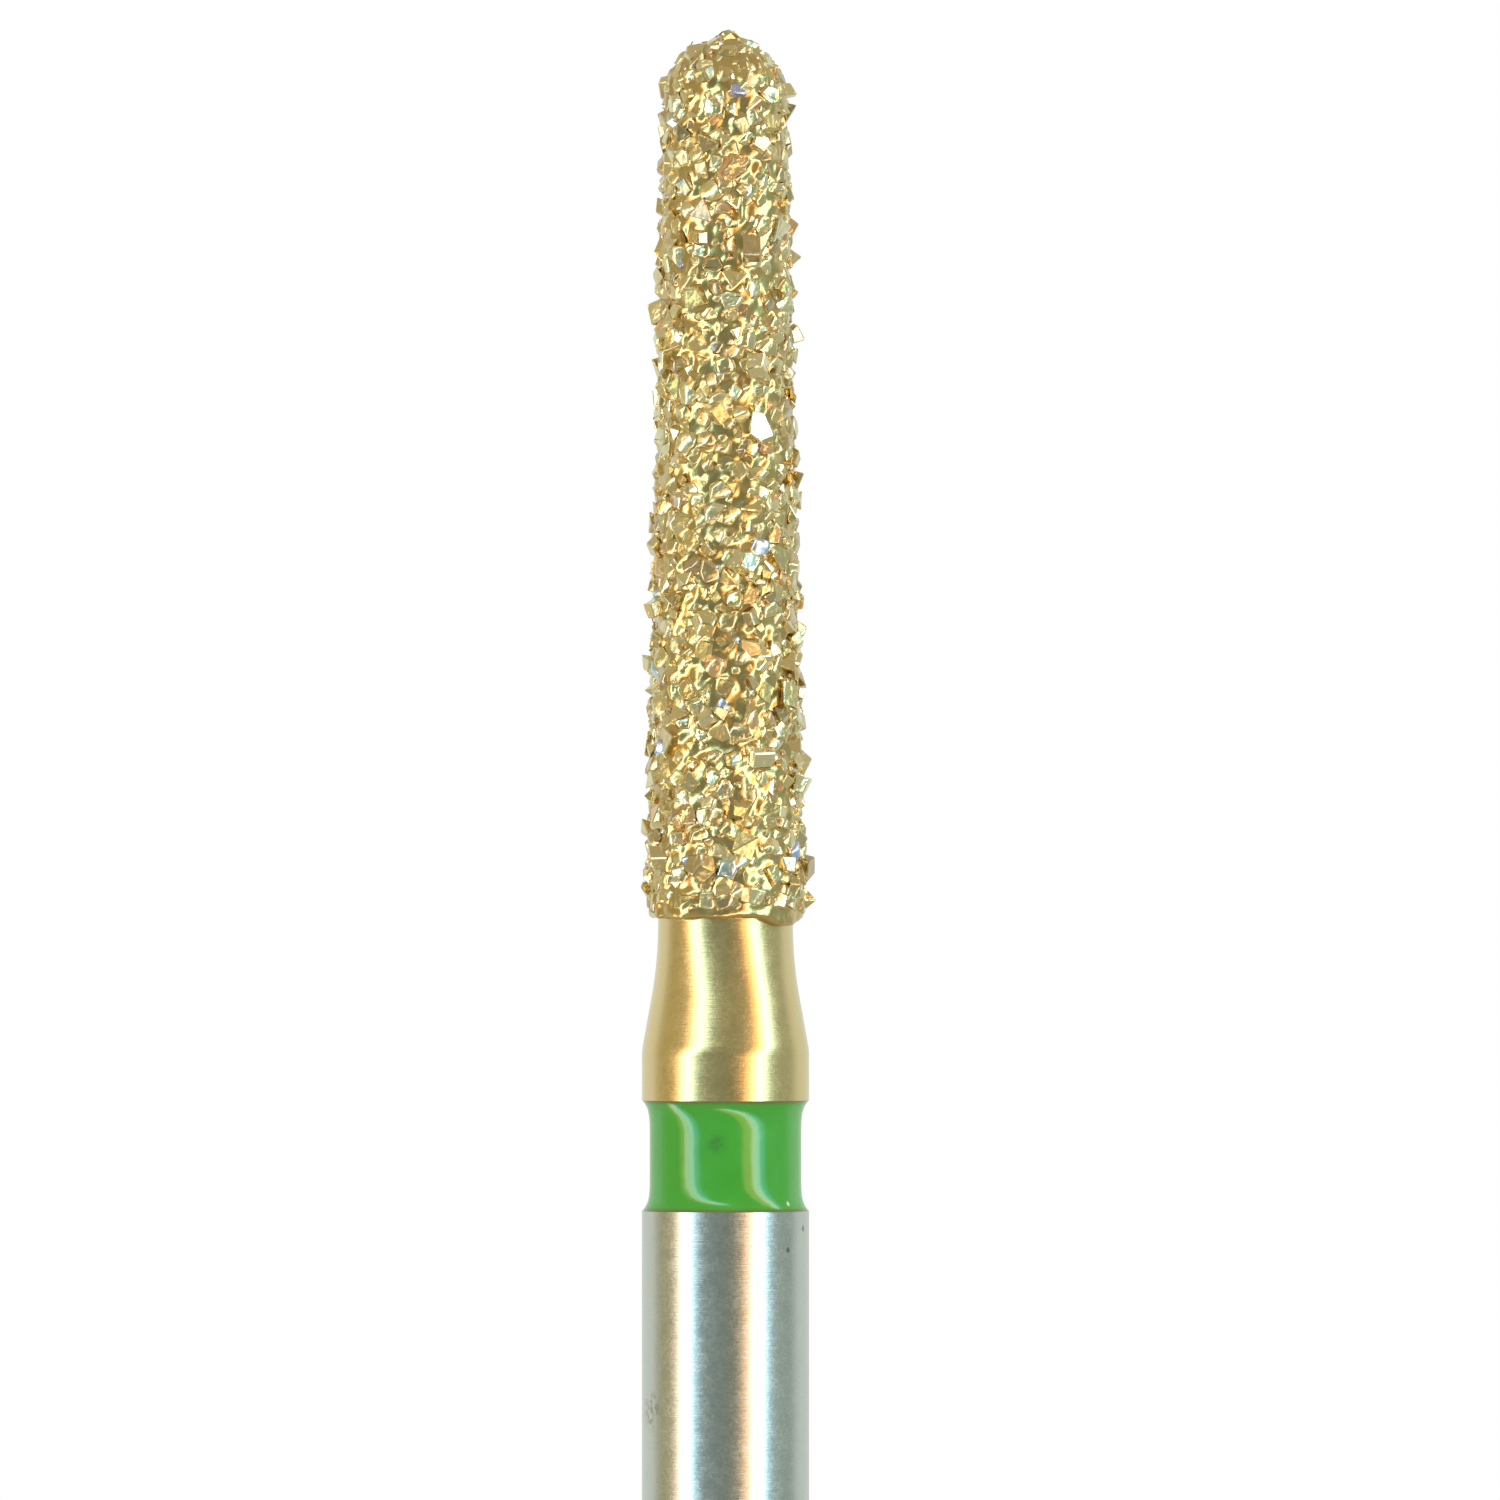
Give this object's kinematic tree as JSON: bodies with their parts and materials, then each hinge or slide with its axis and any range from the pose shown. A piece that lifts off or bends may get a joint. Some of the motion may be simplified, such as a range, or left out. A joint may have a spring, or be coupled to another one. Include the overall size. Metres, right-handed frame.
{
  "type": "dental bur",
  "caption": "Round-ended tapered diamond bur with a gold-finished gritted head, a waisted neck, a green colour ring and a plain steel friction-grip shank.",
  "frame": {"origin": "centre of the shank's flat end face", "axes": "+Z along the spindle from the shank's end to the round end of the head; the bur turns about Z, so X and Y are free, and +Y looks away from the picture's camera"},
  "size_m": [0.0017, 0.0016, 0.0215],
  "materials": {
    "steel": "ground stainless steel, gold-toned above the colour ring",
    "green_lacquer": "glossy green lacquer",
    "gold_bond": "gold-toned electroplated metal, rippled round the crystals",
    "diamond": "broken crystals in a gold-toned skin, bright on their facets"
  },
  "bodies": {
    "root": {"steel_blank": "steel", "colour_ring": "green_lacquer", "bond_coat": "gold_bond", "diamond_grit": "diamond"}
  },
  "joints": []
}
